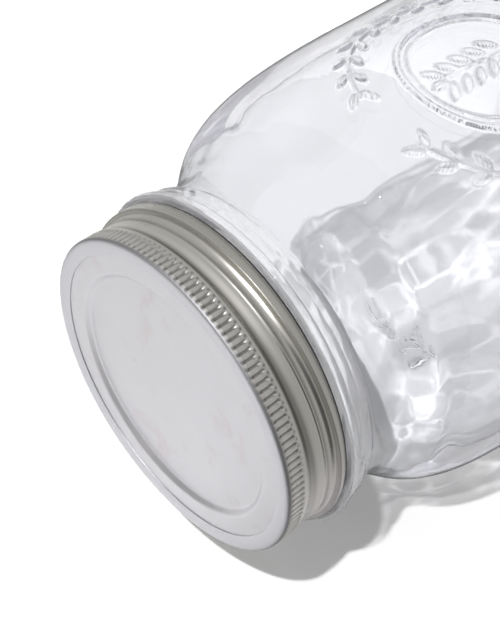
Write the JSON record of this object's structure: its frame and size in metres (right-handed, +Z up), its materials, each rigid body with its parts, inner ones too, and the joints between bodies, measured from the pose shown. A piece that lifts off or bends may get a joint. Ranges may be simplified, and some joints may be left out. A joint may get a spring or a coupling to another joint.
{
  "type": "glass preserving jar",
  "caption": "Round-shouldered clear glass preserving jar with a threaded mouth, a flat stamped lid disc and a knurled metal screw band.",
  "frame": {"origin": "middle of the base, in the plane that the jar stands on", "axes": "+Z up along the jar's axis towards the lid; +X and +Y square to it, the screw band's thread starting near +Y"},
  "size_m": [0.1012, 0.1012, 0.175],
  "materials": {
    "clear_glass": "clear, moulded",
    "band_tinplate": "bright rolled tinplate",
    "disc_tinplate": "satin tinplate",
    "sealing_compound": "soft matt"
  },
  "bodies": {
    "jar": {"glass_jar": "clear_glass"},
    "lid": {"lid_disc": "disc_tinplate", "sealing_ring": "sealing_compound"},
    "band": {"screw_band": "band_tinplate"}
  },
  "joints": [
    {"name": "lid_lift", "type": "slide", "parent": "jar", "child": "lid", "axis": [0, 0, 1], "range_m": [0, 0.0064]},
    {"name": "band_turn", "type": "hinge", "parent": "lid", "child": "band", "pos_m": [0, 0, 0.175], "axis": [0, 0, 1], "range_deg": [0, 450]}
  ],
  "couplings": [
    {"joint": "lid_lift", "follows": "band_turn", "m_per_rad": 0.00080851}
  ]
}
